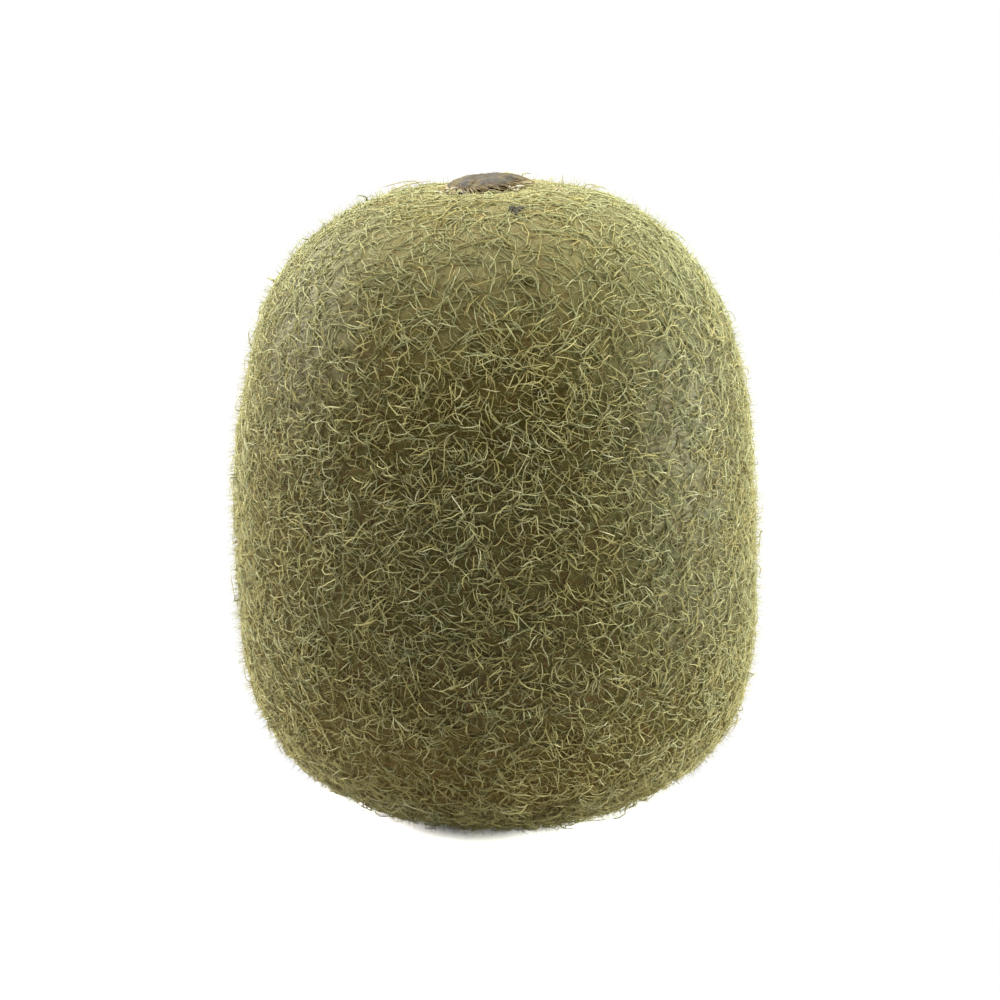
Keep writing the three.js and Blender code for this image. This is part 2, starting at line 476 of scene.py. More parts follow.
def build_button(offset):
    """Its attribute says where the wood is darker: painted shade in the splits, under the lip and in
    the furrows, and darker at the back.
    """
    r, top = BUTTON_WIDTH / 2, BUTTON_HEIGHT
    outline = [
        (0, -BUTTON_ROOT),
        (r * ROOT_SHARE, -BUTTON_ROOT),
        *(np.array(BUTTON_FOOT + BUTTON_CAP) * (r, top)),
        *((r * share, top - DISH_DEPTH) for share in DISH_SHARES),
        (0, top),
    ]
    line = spaced(np.array(outline), BUTTON_STEP)[1:-1]
    angle = circle(BUTTON_SEGMENTS)
    wave = waves(angle, RIM_WAVES)
    radius, z = line[:, :1], line[:, 1:]
    rise = np.where(z > 0, RIM_ROUGHNESS * wave * ease(radius / r, *RIM_SHARES), 0)
    above = ease(z, *WOOD_HEIGHTS)
    fibres = np.zeros_like(angle)
    for count, share, phase, sway, times in FIBRES:
        fibres += share * np.sin(count * angle + sway * np.sin(times * angle) + phase)
    relief = FIBRE_DEPTH * ease(radius / r, *FIBRE_SHARES) * above * fibres
    radius = radius + relief
    rings = polar(radius * (1 + wave), angle, z + rise + FIBRE_LIFT * relief, BUTTON_OVAL)
    split = np.maximum(*(winding(rings, size, SPLIT_WIDTH) for size in SPLIT_SIZES)) * above
    normals = ring_normals(rings)
    rings = grain(rings, normals, BUTTON_GRAIN * above[..., None], *WOOD_GRAIN)
    rings = rings - normals * SPLIT_DEPTH * split[..., None]
    ragged = BACK_RAGGED * lumps(rings, BACK_SIZE)
    behind = ease(rings[..., 0] + ragged, *BACK_X) * ease(rings[..., 1] + ragged, *BACK_Y)
    ends = np.array([(0, 0, -BUTTON_ROOT), (0, 0, top)])
    rings, ends = place_button(rings, offset), place_button(ends, offset)
    piece = add_lathe("stem_button", rings, *ends)
    # Painted shade under the lip, in the furrows and in the splits; the back is darker.
    lip = 1 - ease(z / top, *LIP_SHARES)
    furrow = ease(-fibres, 0, FURROW_FULL) * ease(radius / r, *FURROW_SHARES)
    shade_and_darker_back = sum(dark * share for dark, share in zip(DARKENING, (split, lip, furrow, behind)))
    values = np.concatenate([np.clip(shade_and_darker_back, 0, 1).ravel(), [1, 0]])
    layer = piece.data.attributes.new("shade_and_darker_back", "FLOAT", "POINT")
    layer.data.foreach_set("value", values.astype(np.float32))
    return piece


# ---- hairs

CROWN_SPARSE = 0.36  # share of the hairs that is missing at the crown
UNDER_SPARSE = 0.2  # and of the rest of the flat ones
CLUMPING = 0.5
CLUMP_SIZE = 1.4 * MM
BARE_HEIGHT = 0.4 * MM  # no hair grows below it on the standing ring
BARE_SHARE = 1.5  # of its radius
EVEN_STEPS = np.array([0.7548776662, 0.5698402910])  # spread points evenly over a square
SHAKE = 0.3  # share of the distance between places
DRAWS = 3  # places drawn for each one wanted
KEPT = 0.5  # share of them where hairs stand thickest
FAN_SHAKE = 0.3


class Skin:
    """Finds the nearest place on a mesh, and draws places on it."""

    def __init__(self, piece):
        mesh = piece.data
        self.points = np.zeros(len(mesh.vertices) * 3, np.float32)
        mesh.vertices.foreach_get("co", self.points)
        self.points = self.points.reshape(-1, 3).astype(float)
        faces = [tuple(p.vertices) for p in mesh.polygons]
        self.tree = BVHTree.FromPolygons(self.points.tolist(), faces)
        self.quads = np.array([f for f in faces if len(f) == 4]).reshape(-1, SKIN_SEGMENTS, 4)
        a, b, c, d = (self.points[self.quads[..., k]] for k in range(4))
        areas = (np.linalg.norm(np.cross(c - a, d - b), axis=-1) / 2).sum(1)
        self.area_below = np.concatenate([[0], np.cumsum(areas) / areas.sum()])

    def nearest(self, points):
        found = [self.tree.find_nearest(p)[:2] for p in points.tolist()]
        places, normals = zip(*found)
        return np.array(places), np.array(normals)

    def draw(self, count):
        """Places spread evenly over the skin, and then shaken."""
        k = np.arange(count)[:, None]
        start = rng.random(2)
        shake = rng.normal(0, SHAKE / math.sqrt(count), (count, 2))
        u, v = ((start + k * EVEN_STEPS + shake) % 1).T
        ring = np.searchsorted(self.area_below, v, side="right") - 1
        ring = np.clip(ring, 0, len(self.quads) - 1)
        low, high = self.area_below[ring], self.area_below[ring + 1]
        segment = (u * SKIN_SEGMENTS).astype(int)
        s = (u * SKIN_SEGMENTS - segment)[:, None]
        t = ((v - low) / (high - low))[:, None]
        faces = self.quads[ring, segment]
        a, b, c, d = (self.points[faces[:, k]] for k in range(4))
        return (a * (1 - s) + b * s) * (1 - t) + (d * (1 - s) + c * s) * t


def hair_share(points):
    """How thickly hairs stand at each place, from 0 to 1."""
    x, y, z = points.T
    angle = np.arctan2(y, x)
    share = np.ones(len(points))
    for *place, missing in BALD_PATCHES:
        share -= missing * near(angle, z, *place)
    share *= 1 - CROWN_SPARSE * ease(z, *STEM_HAIRS)
    share *= 1 + CLUMPING * lumps(points, CLUMP_SIZE)
    bare_top = (z > HEIGHT / 2) & (from_stem(points) < BUTTON_WIDTH / 2)
    bare_base = (z < BARE_HEIGHT) & (np.hypot(x, y) < STANDING_R * BARE_SHARE)
    return np.where(bare_top | bare_base, 0, np.clip(share, 0, 1))


def draw_roots(skin, count, crown_sparse=0.0):
    """Places where hairs may grow."""
    places = skin.draw(DRAWS * count)
    share = hair_share(places) * (1 - crown_sparse * ease(places[:, 2], *STEM_HAIRS))
    return places[rng.random(len(places)) < share * KEPT][:count]


def bunches(skin, count, hairs, spread, fan):
    """Hairs in groups that fan out: their roots, the angles in which they start, their groups."""
    centres = draw_roots(skin, count)
    count = len(centres)
    sizes = rng.integers(hairs[0], hairs[1] + 1, count)
    roots = np.repeat(centres, sizes, axis=0)
    starts = np.repeat(uniform(ROUND, count), sizes)
    order = np.concatenate([np.arange(n) / n for n in sizes])
    angles = starts + order * fan + rng.normal(0, FAN_SHAKE, len(roots))
    return roots + rng.normal(0, spread, roots.shape), angles, np.repeat(np.arange(count), sizes)


NOWHERE = np.array([0.13, 0.21, 0.97])  # no part of the skin quite faces this way
LIE = -0.35  # the way that slightly more of the hairs take, in radians
LIE_SHARE = 0.3


def lie(angles):
    """The same angles, drawn a little towards LIE and its opposite."""
    return angles - LIE_SHARE / 2 * np.sin(2 * (angles - LIE))


def compass(normals, angles):
    """Directions along the skin, by their angles in it."""
    side = unit(np.cross(normals, NOWHERE))
    ahead = np.cross(normals, side)
    return side * np.cos(angles)[:, None] + ahead * np.sin(angles)[:, None]


def grow(skin, roots, angles, lengths, heights, curls, kinks):
    """Paths of hairs over the skin, (hair, point, xyz), and the skin's normals there.

    heights above the skin, and kinks, are (hair, point). curls is how far each hair turns per
    step, and kinks what it turns besides.
    """
    count, points = heights.shape
    place, normal = skin.nearest(roots)
    heading = compass(normal, lie(angles))
    path, normals = np.zeros((2, count, points, 3))
    for k in range(points):
        path[:, k] = place + normal * heights[:, k, None]
        normals[:, k] = normal
        if k == points - 1:
            break
        turn = (curls + kinks[:, k])[:, None]
        heading = heading * np.cos(turn) + np.cross(normal, heading) * np.sin(turn)
        place, normal = skin.nearest(place + heading * lengths[:, None] / (points - 1))
        across = (heading * normal).sum(1, keepdims=True)
        heading = unit(heading - normal * across)
    return path, normals


STEM_HAIRS = (46 * MM, 62 * MM)  # heights where hairs and skin change to the crown's, the skin there paler by painted light from above
FOOT_SKIN = (4 * MM, 25 * MM)  # and below which they are warmer
BUTTON_NEAR = (3.9 * MM, 7.5 * MM)  # where the coat rises to its full height
FLOOR_CLEARANCE = 0.09 * MM
TUBE_CORNERS = 3
MAP_EDGE = 0.02  # of the map


def add_tubes(name, path, normals, radii, tints):
    """Hairs as tubes that end in a point. Across the map runs the tint, up it the way to the tip."""
    count, points = path.shape[:2]
    rings, corners = points - 1, TUBE_CORNERS
    path = path.copy()
    path[..., 2] = np.maximum(path[..., 2], FLOOR_CLEARANCE)
    along = unit(np.gradient(path, axis=1))
    side = unit(np.cross(along, normals))
    up = np.cross(side, along)
    vertices = []
    for corner in range(corners):
        turn = math.pi / 2 + corner * TURN / corners
        out = side * math.cos(turn) + up * math.sin(turn)
        vertices.append(path + out * radii[..., None])
    vertices = np.stack(vertices, 2)[:, :rings].reshape(count, rings * corners, 3)
    vertices = np.concatenate([vertices, path[:, -1:]], 1)
    per_hair = rings * corners + 1
    base = (np.arange(count) * per_hair)[:, None, None]
    quads = ring_quads(rings, corners)
    last = (rings - 1) * corners
    fans = [(last + c, last + (c + 1) % corners, per_hair - 1) for c in range(corners)]
    fans = np.array([*fans, (2, 1, 0)])
    v = np.concatenate([np.repeat(np.arange(rings), corners), [rings]]) / rings
    u, v = (MAP_EDGE + (1 - 2 * MAP_EDGE) * share for share in (tints, v))
    uv = [np.stack([np.repeat(u, f.size), np.tile(v[f].ravel(), count)], 1) for f in (quads, fans)]
    quads, fans = (base + quads).reshape(-1, 4), (base + fans).reshape(-1, 3)
    return add_mesh(name, vertices.reshape(-1, 3), quads, fans, np.vstack(uv))


TINT_PATCHES = (9 * MM, 1.3 * MM)
BRIGHT_PATCH = 1.5 * MM
BRIGHT_SHIFT = 50 * MM  # to another part of the noise
GREEN_SIDE = (4 * MM, 18 * MM)  # along X, where the fruit turns greener
SHOULDERS = (7 * MM, 18 * MM)  # to both sides, where the crown turns greyer; on the skin that grey is a painted sheen
FLANKS = (19 * MM, 25 * MM)  # where hairs are more alike and flatter
# What adds to the share of cool hairs: every place, patches, crown, shoulders, right side, foot.
COOL_SHARES = (0.42, 0.35, 0.28, 0.33, 0.15, -0.5)
# The usual brightness of a hair, how much nearer to it they keep, and what changes it.
BRIGHTNESS = 0.58
CALM_CROWN = 0.8
CALM_FLANKS = 0.5
# Hairs are darker at the crown: painted shade that tempers the strong light from above.
CROWN_HAIR_SHADE = 0.07
BRIGHT_PATCHES = 0.3
TINT_EDGE = 0.04  # of each half of the map


def tint_places(roots, brightness, warmth=0.0):
    """Places on the map of tints: its warm half runs from dark to pale, then its cool half."""
    hue = sum(lumps(roots, size) for size in TINT_PATCHES)
    high = ease(roots[:, 2], *STEM_HAIRS)
    low = 1 - ease(roots[:, 2], *FOOT_SKIN)
    right = ease(roots[:, 0], *GREEN_SIDE)
    shoulder = high * ease(np.abs(roots[:, 0]), *SHOULDERS)
    flank = ease(np.abs(roots[:, 0]), *FLANKS)
    causes = zip(COOL_SHARES, (1, hue, high, shoulder, right, low))
    cool = rng.random(len(roots)) < sum(share * cause for share, cause in causes) - warmth
    calm = np.maximum(CALM_CROWN * high, CALM_FLANKS * flank)
    # darker at the crown: painted shade
    brightness = BRIGHTNESS + (brightness - BRIGHTNESS) * (1 - calm) - CROWN_HAIR_SHADE * high
    brightness = brightness + BRIGHT_PATCHES * lumps(roots + BRIGHT_SHIFT, BRIGHT_PATCH)
    return (cool + TINT_EDGE + (1 - 2 * TINT_EDGE) * np.clip(brightness, 0, 1)) / 2


def from_stem(places):
    return np.hypot(places[:, 0] - STEM_X, places[:, 1] - STEM_Y)


def near_button(places):
    """1 at the button's edge, falling to 0 a little way out."""
    return 1 - ease(from_stem(places), *BUTTON_NEAR)


ROOT_HEIGHT = -0.08 * MM  # the roots are sunk in the skin
LEAST_HEIGHT = 0.04 * MM
HEIGHT_SHAKE = 0.04 * MM
RISE, FALL = 5, 1.5  # how fast it rises, and how late it falls


def coat_heights(peak, fall, points):
    """A hair rises from just under the skin to its peak, then comes down, or not, by fall."""
    t = steps(points)
    rise = 1 - np.exp(-RISE * t)
    heights = peak[:, None] * rise * (1 - fall[:, None] * t**FALL)
    heights = heights + rng.normal(0, HEIGHT_SHAKE, heights.shape)
    heights = np.maximum(heights, LEAST_HEIGHT)
    heights[:, 0] = ROOT_HEIGHT
    return heights


def tapered(radii, share, points):
    """Radii along hairs, from their radii in mm. share is what the tip lacks."""
    return radii[:, None] * MM * (1 - share * steps(points))


# The long hairs: lengths, heights and radii without a unit are in mm.
TUFT_SPREAD = 0.09 * MM
LOCK_SPREAD = 0.7 * MM
COAT_LENGTH = 2.25  # of most hairs
COAT_VARIES = 0.3
COAT_LENGTHS = (1.1, 4.2)
COAT_LOWEST = 0.1
COAT_RISE = 0.66
COAT_RISE_POWER = 1.4
COAT_FALL = (-0.2, 0.85)
STRAY_SHARE = 0.06  # share that stands away from the rest
STRAY_RISE = (0.2 * MM, 0.9 * MM)
GROUP_CURL = 0.4  # in radians a step, as the curls and kinks below
OWN_CURL = 0.12
COAT_KINK = 0.09
BENDS = 2
BEND = 0.45
COAT_RADII = (0.045, 0.075)
# How much longer, straighter, thicker and flatter the hairs get there.
LONGER_CROWN = 0.4
STRAIGHTER_CROWN = 0.5
THICKER_CROWN = 0.3
FLAT_CROWN = 0.55
FLAT_FLANKS = 0.3
FLAT_BUTTON = 0.6
HAIR_TAPER = 0.3
DARKEST = 0.25
GROUP_BRIGHT = 0.3  # share that a group has in common
GROUP_WARMTH = 0.3


def add_coat(skin):
    """The long hairs, which lie over each other close to the skin."""
    tufts = bunches(skin, TUFTS, TUFT_HAIRS, TUFT_SPREAD, TURN)
    locks = bunches(skin, LOCKS, LOCK_HAIRS, LOCK_SPREAD, 0)
    roots, angles = (np.concatenate([tufts[k], locks[k]]) for k in (0, 1))
    group = np.concatenate([tufts[2], locks[2] + TUFTS])
    groups = group.max() + 1
    count, points = len(roots), COAT_STEPS + 1
    high = ease(roots[:, 2], *STEM_HAIRS)
    flank = ease(np.abs(roots[:, 0]), *FLANKS)
    lengths = np.clip(rng.lognormal(math.log(COAT_LENGTH), COAT_VARIES, count), *COAT_LENGTHS)
    lengths = lengths * MM * (1 + LONGER_CROWN * high)
    peaks = (COAT_LOWEST + COAT_RISE * rng.random(count) ** COAT_RISE_POWER) * MM
    peaks = peaks * (1 - np.maximum(FLAT_CROWN * high, FLAT_FLANKS * flank))
    stray = rng.random(count) < STRAY_SHARE
    peaks = peaks + stray * uniform(STRAY_RISE, count)
    peaks = peaks * (1 - FLAT_BUTTON * near_button(roots))
    heights = coat_heights(peaks, uniform(COAT_FALL, count), points)
    curls = rng.uniform(-GROUP_CURL, GROUP_CURL, groups)[group] + rng.normal(0, OWN_CURL, count)
    curls = curls * (1 - STRAIGHTER_CROWN * high)
    kinks = rng.normal(0, COAT_KINK, (count, points))
    for _ in range(BENDS):
        kinks[np.arange(count), rng.integers(1, points - 1, count)] += rng.normal(0, BEND, count)
    path, normals = grow(skin, roots, angles, lengths, heights, curls, kinks)
    radii = uniform(COAT_RADII, count) * (1 + THICKER_CROWN * high)
    bright = rng.random(groups)[group] * GROUP_BRIGHT + rng.random(count) * (1 - GROUP_BRIGHT)
    bright = DARKEST + (1 - DARKEST) * bright
    tints = tint_places(roots, bright, rng.normal(0, GROUP_WARMTH, groups)[group])
    return add_pieces("hair", path, normals, tapered(radii, HAIR_TAPER, points), tints)


UNDER_LENGTHS = (1.1, 2.6)
UNDER_PEAKS = (0.04, 0.14)
UNDER_FALL = (-0.2, 0.6)
UNDER_CURLS = (0.05, 0.3)
UNDER_KINK = 0.2
UNDER_RADII = (0.038, 0.06)
UNDER_BRIGHTNESS = (0, 0.48)


def add_under_coat(skin):
    """Shorter, duller hairs, flat under the long ones."""
    roots = draw_roots(skin, UNDER_HAIRS, UNDER_SPARSE)
    count, points = len(roots), UNDER_STEPS + 1
    angles = uniform(ROUND, count)
    lengths = uniform(UNDER_LENGTHS, count) * MM
    peaks = uniform(UNDER_PEAKS, count) * MM
    heights = coat_heights(peaks, uniform(UNDER_FALL, count), points)
    curls = rng.choice([-1, 1], count) * uniform(UNDER_CURLS, count)
    kinks = rng.normal(0, UNDER_KINK, (count, points))
    path, normals = grow(skin, roots, angles, lengths, heights, curls, kinks)
    radii = tapered(uniform(UNDER_RADII, count), HAIR_TAPER, points)
    tints = tint_places(roots, uniform(UNDER_BRIGHTNESS, count))
    return add_pieces("under_hair", path, normals, radii, tints)


FUZZ_LENGTHS = (0.2, 1.1)  # along the skin
FUZZ_LOW = 0.42 * MM
FUZZ_FALL = 0.56 * MM  # the fuzz thins out over this height
FUZZ_REACH = 1.05 * MM
FUZZ_FLAT_BUTTON = 0.85
FUZZ_RADII = (0.028, 0.042)
FUZZ_BRIGHTNESS = (0.15, 0.65)


def add_fuzz(skin):
    """Short thin hairs that stand up, fewer of them the higher they reach."""
    roots = draw_roots(skin, FUZZ_HAIRS)
    count, points = len(roots), FUZZ_STEPS + 1
    angles = uniform(ROUND, count)
    lengths = uniform(FUZZ_LENGTHS, count) * MM
    tops = FUZZ_LOW + np.minimum(rng.exponential(FUZZ_FALL, count), FUZZ_REACH)
    tops = tops * (1 - FUZZ_FLAT_BUTTON * near_button(roots))
    heights = tops[:, None] * steps(points)
    heights[:, 0] = ROOT_HEIGHT
    curls, kinks = np.zeros(count), np.zeros((count, points))
    path, normals = grow(skin, roots, angles, lengths, heights, curls, kinks)
    radii = tapered(uniform(FUZZ_RADII, count), 0, points)
    tints = tint_places(roots, uniform(FUZZ_BRIGHTNESS, count))
    return add_pieces("fuzz", path, normals, radii, tints)


def add_pieces(name, path, normals, radii, tints):
    """Splits hairs by height into pieces under the limit on triangles."""
    triangles = len(path) * (2 * TUBE_CORNERS * (path.shape[1] - 1) - 2)
    order = np.argsort(path[:, 0, 2])
    parts = np.array_split(order, math.ceil(triangles / PIECE_TRIANGLES))
    return [
        add_tubes(f"{name}_{k + 1}", path[part], normals[part], radii[part], tints[part])
        for k, part in enumerate(parts)
    ]


# ---- the ends of the fruit

STRAWS = 84
STRAW_STEPS = 5
STRAW_SHARES = (0.88, 1.42)  # shares of the button's half width
STRAW_VARIES = (0.13, 0.25)
STRAW_SHAKE = 0.3  # share of the distance between them
STRAW_TURN = 0.45  # how far round they run, in radians
TURN_VARIES = 0.12
STRAW_LIFT = 0.05 * MM  # above the wood
STRAW_ROUGHNESS = 0.04 * MM
STRAW_END = (1.2, 0.16)  # where they end, as shares of the half width and height
STRAW_RADII = (0.05, 0.09)  # in mm, as all these radii
STRAW_TAPER = 0.4
STRAW_TINTS = (0.3, 0.8)
# Where the flakes lie: X and Y in mm.
FLAKES = ((-4.9, -0.7), (-4.3, -1.2), (-3.8, -1.5), (2.2, -2.4), (6.4, -2.9))
FLAKE_STRAWS = 6
FLAKE_HEIGHTS = (0.1, 0.85)
FLAKE_SPREAD = 0.2 * MM
FLAKE_LENGTHS = (0.5, 1.0)
FLAKE_KINK = 0.15
FLAKE_CURL = 0.1
FLAKE_RADII = (0.06, 0.12)
FLAKE_TINTS = (0.7, 1)


def button_straws(offset):
    """Straws that run down the button's flank and out over the skin."""
    points = STRAW_STEPS + 1
    angle = (np.arange(STRAWS) + rng.normal(0, STRAW_SHAKE, STRAWS)) * TURN / STRAWS
    t = steps(points)
    first = STRAW_SHARES[0] + rng.uniform(0, STRAW_VARIES[0], STRAWS)[:, None]
    last = STRAW_SHARES[1] - rng.uniform(0, STRAW_VARIES[1], STRAWS)[:, None]
    share = first + (last - first) * t
    shares, heights = np.array(BUTTON_CAP[:0:-1] + (STRAW_END,)).T
    z = np.interp(share, shares, heights * BUTTON_HEIGHT) + STRAW_LIFT
    z = z + rng.normal(0, STRAW_ROUGHNESS, z.shape)
    turn = angle[:, None] + (STRAW_TURN + rng.normal(0, TURN_VARIES, (STRAWS, 1))) * t
    path = polar(share * BUTTON_WIDTH / 2, turn, z, BUTTON_OVAL)
    normals = polar(1, turn, 1)
    radii = tapered(uniform(STRAW_RADII, STRAWS), STRAW_TAPER, points)
    return place_button(path, offset), unit(normals), radii


def flake_straws(skin, middle):
    """A few pale straws that lie across each other."""
    count, points = FLAKE_STRAWS, STRAW_STEPS + 1
    t = steps(points)
    start, end = uniform(FLAKE_HEIGHTS, (2, count, 1)) * MM
    heights = start + (end - start) * t
    roots = middle + rng.normal(0, FLAKE_SPREAD, (count, 3)) * (1, 1, 0)
    angles = uniform(ROUND, count)
    lengths = uniform(FLAKE_LENGTHS, count) * MM
    kinks = rng.normal(0, FLAKE_KINK, (count, points))
    curls = rng.normal(0, FLAKE_CURL, count)
    path, normals = grow(skin, roots, angles, lengths, heights, curls, kinks)
    return path, normals, tapered(uniform(FLAKE_RADII, count), STRAW_TAPER, points)


def add_straws(skin, offset):
    """The dried scraps of sepals round the button."""
    bunched = [button_straws(offset)]
    for x, y in FLAKES:
        bunched.append(flake_straws(skin, np.array([x * MM, y * MM, STEM_Z]) + offset))
    path, normals, radii = (np.concatenate([bunch[k] for bunch in bunched]) for k in range(3))
    tints = uniform(STRAW_TINTS, STRAWS)
    pale = uniform(FLAKE_TINTS, FLAKE_STRAWS * len(FLAKES))
    return add_tubes("straws", path, normals, radii, np.concatenate([tints, pale]))


BRISTLES = 40
BRISTLE_STARTS = (0.2, 0.9)  # shares of the stub's radius
BRISTLE_LENGTH = (0.7 * MM, 1.7 * MM)
BRISTLE_TURN = 0.5
BRISTLE_Z = DIMPLE_DEPTH - STYLE_HEIGHT + 0.05 * MM
BRISTLE_DROP = 0.35 * MM
LEAST_DROP = 0.3  # share of it
BRISTLE_ARC = 2.6  # part of a wave along which they sag, in radians
BRISTLE_CEILING = DIMPLE_DEPTH - 0.06 * MM
BRISTLE_FLOOR = 0.12 * MM
BRISTLE_RADII = (0.04, 0.07)
BRISTLE_TAPER = 0.5
BRISTLE_TINTS = (0, 0.6)


def add_bristles(offset):
    """The dried styles, which spread from the stub in the dimple."""
    points = STRAW_STEPS + 1
    angle = uniform(ROUND, BRISTLES)
    t = steps(points)
    reach = uniform(BRISTLE_LENGTH, BRISTLES)[:, None] * t
    start = uniform(BRISTLE_STARTS, BRISTLES)[:, None] * STYLE_R
    turn = angle[:, None] + rng.normal(0, BRISTLE_TURN, (BRISTLES, 1)) * t
    radius = np.minimum(start + reach, DIMPLE_R * DIMPLE_WALL)
    drop = rng.uniform(LEAST_DROP, 1, BRISTLES)[:, None] * BRISTLE_DROP * np.sin(t * BRISTLE_ARC)
    z = np.clip(BRISTLE_Z - drop, BRISTLE_FLOOR, BRISTLE_CEILING)
    path = polar(radius, turn, z) + offset
    normals = np.zeros_like(path)
    normals[..., 2] = -1
    radii = tapered(uniform(BRISTLE_RADII, BRISTLES), BRISTLE_TAPER, points)
    return add_tubes("styles", path, normals, radii, uniform(BRISTLE_TINTS, BRISTLES))


SPECK_PLACE = (2.04 * MM, -9.9 * MM, 63.8 * MM)
SPECK_SIZE = (1.25 * MM, 1.5 * MM)
SPECK_THICKNESS = 0.45 * MM
SPECK_HEIGHT = 0.24 * MM
SPECK_WAVES = ((3, 0.2, 1), (7, 0.12, 0))  # in its outline: count, share, phase
SPECK_WARP = ((2, 0.1 * MM, 0),)
SPECK_GRAIN = (0.12 * MM, 0.4 * MM)  # height and size
SPECK_RINGS = 9
SPECK_SEGMENTS = 40


def add_speck(skin):
    """A small dark scrap between the hairs on the front of the crown."""
    place, normal = (found[0] for found in skin.nearest(np.array([SPECK_PLACE])))
    side = unit(np.cross(normal, NOWHERE))
    ahead = np.cross(normal, side)
    angle = circle(SPECK_SEGMENTS)
    turn = np.linspace(-math.pi / 2, math.pi / 2, SPECK_RINGS + 2)[1:-1, None]
    ragged = np.cos(turn) * (1 + waves(angle, SPECK_WAVES))
    across, along = (ragged * size / 2 for size in SPECK_SIZE)
    up = np.sin(turn) * SPECK_THICKNESS / 2 + SPECK_HEIGHT + waves(angle, SPECK_WARP)
    rings = place + side * (across * np.cos(angle))[..., None]
    rings = rings + ahead * (along * np.sin(angle))[..., None] + normal * up[..., None]
    rings = grain(rings, ring_normals(rings), *SPECK_GRAIN)
    return add_lathe("speck", rings, rings[0].mean(0), rings[-1].mean(0))


# ---- materials


class Nodes:
    """A material's nodes, linked as they are made."""

    def __init__(self, name, roughness, specular):
        self.material = bpy.data.materials.new(name)
        self.material.use_nodes = True
        self.tree = self.material.node_tree
        self.shader = self.tree.nodes["Principled BSDF"]
        self.set({"Roughness": roughness, "Specular IOR Level": specular})

    def set(self, inputs, node=None):
        """Gives inputs of the node, or of the shader, values or other nodes' outputs."""
        sockets = (node or self.shader).inputs
        for key, value in inputs.items():
            if isinstance(value, bpy.types.NodeSocket):
                self.tree.links.new(value, sockets[key])
            else:
                sockets[key].default_value = value

    def add(self, kind, inputs=None, **settings):
        node = self.tree.nodes.new(kind)
        for key, value in settings.items():
            setattr(node, key, value)
        self.set(inputs or {}, node)
        return node

    def number(self, operation, *values):
        return self.add("ShaderNodeMath", dict(enumerate(values)), operation=operation).outputs[0]

    def vector(self, operation, *values):
        return self.add("ShaderNodeVectorMath", dict(enumerate(values)), operation=operation).outputs

    def axes(self, place):
        return self.add("ShaderNodeSeparateXYZ", {"Vector": place}).outputs

    def map_axes(self):
        """The place on the map: X across it, Y up it."""
        return self.axes(self.add("ShaderNodeUVMap", uv_map=MAP_NAME).outputs["UV"])

    def ramp(self, factor, stops):
        """stops are (place, linear colour)."""
        node = self.add("ShaderNodeValToRGB", {"Fac": factor})
        elements = node.color_ramp.elements
        while len(elements) < len(stops):
            elements.new(1)
        for element, (place, colour) in zip(elements, stops):
            element.position = place
            element.color = (*colour, 1)
        return node.outputs["Color"]

    def levels(self, value, low, high, before=0.0, after=1.0, curve="LINEAR"):
        """before where the value is up to low, after from high on, and a curve between."""
        inputs = {"Value": value, "From Min": low, "From Max": high}
        inputs |= {"To Min": before, "To Max": after}
        return self.add("ShaderNodeMapRange", inputs, interpolation_type=curve).outputs["Result"]

    def mix(self, factor, a, b, blend="MIX"):
        a, b = (c if isinstance(c, bpy.types.NodeSocket) else (*c, 1) for c in (a, b))
        inputs = {0: factor, 6: a, 7: b}
        return self.add("ShaderNodeMix", inputs, data_type="RGBA", blend_type=blend).outputs[2]

    def times(self, a, b):
        return self.mix(1.0, a, b, "MULTIPLY")

    def millimetres(self):
        place = self.add("ShaderNodeTexCoord").outputs["Object"]
        return self.vector("MULTIPLY", place, (1 / MM,) * 3)["Vector"]

    def noise(self, place, size, detail, roughness, distortion):
        inputs = {"Vector": place, "Scale": 1 / size, "Detail": detail}
        inputs |= {"Roughness": roughness, "Distortion": distortion}
        return self.add("ShaderNodeTexNoise", inputs).outputs["Fac"]

    def lumps(self, place, values, low, high):
        return self.levels(self.noise(place, *values), low, high)

    def lines(self, place, size, width):
        """Thin winding lines, where a noise crosses its middle value."""
        field = self.noise(place, size, *LINE_NOISE)
        away = self.number("ABSOLUTE", self.number("SUBTRACT", field, 0.5))
        return self.levels(away, width, width * LINE_CORE)

    def bump(self, height, distance):
        node = self.add("ShaderNodeBump", {"Height": height, "Distance": distance})
        self.set({"Normal": node.outputs["Normal"]})


# Noises: size in mm, detail, roughness, distortion, then the values for none and all.
LINE_NOISE = (1, 0.5, 1.0)  # without its size
LINE_CORE = 0.4  # share of the half width

FLOOR_WHITE = 0.7
# As the camera sees it, the paper is overexposed under the fruit, less so round it, and just white
# further off.
FLOOR_UNDER = 4.8
FLOOR_ROUND = 2.9
FLOOR_NEAR_GLOW = 0.15
FLOOR_FAR_GLOW = 1.0
# It changes over ovals, a little in front of the fruit's middle.
FLOOR_OVAL = (1.6, 1, 0)
FLOOR_SHIFT = (0, 6 * MM, 0)
UNDER_FRUIT = (12 * MM, 20 * MM)  # along Y, where it first changes
ROUND_FRUIT = (24 * MM, 36 * MM)  # and where it turns just white
SMOOTH = "SMOOTHSTEP"


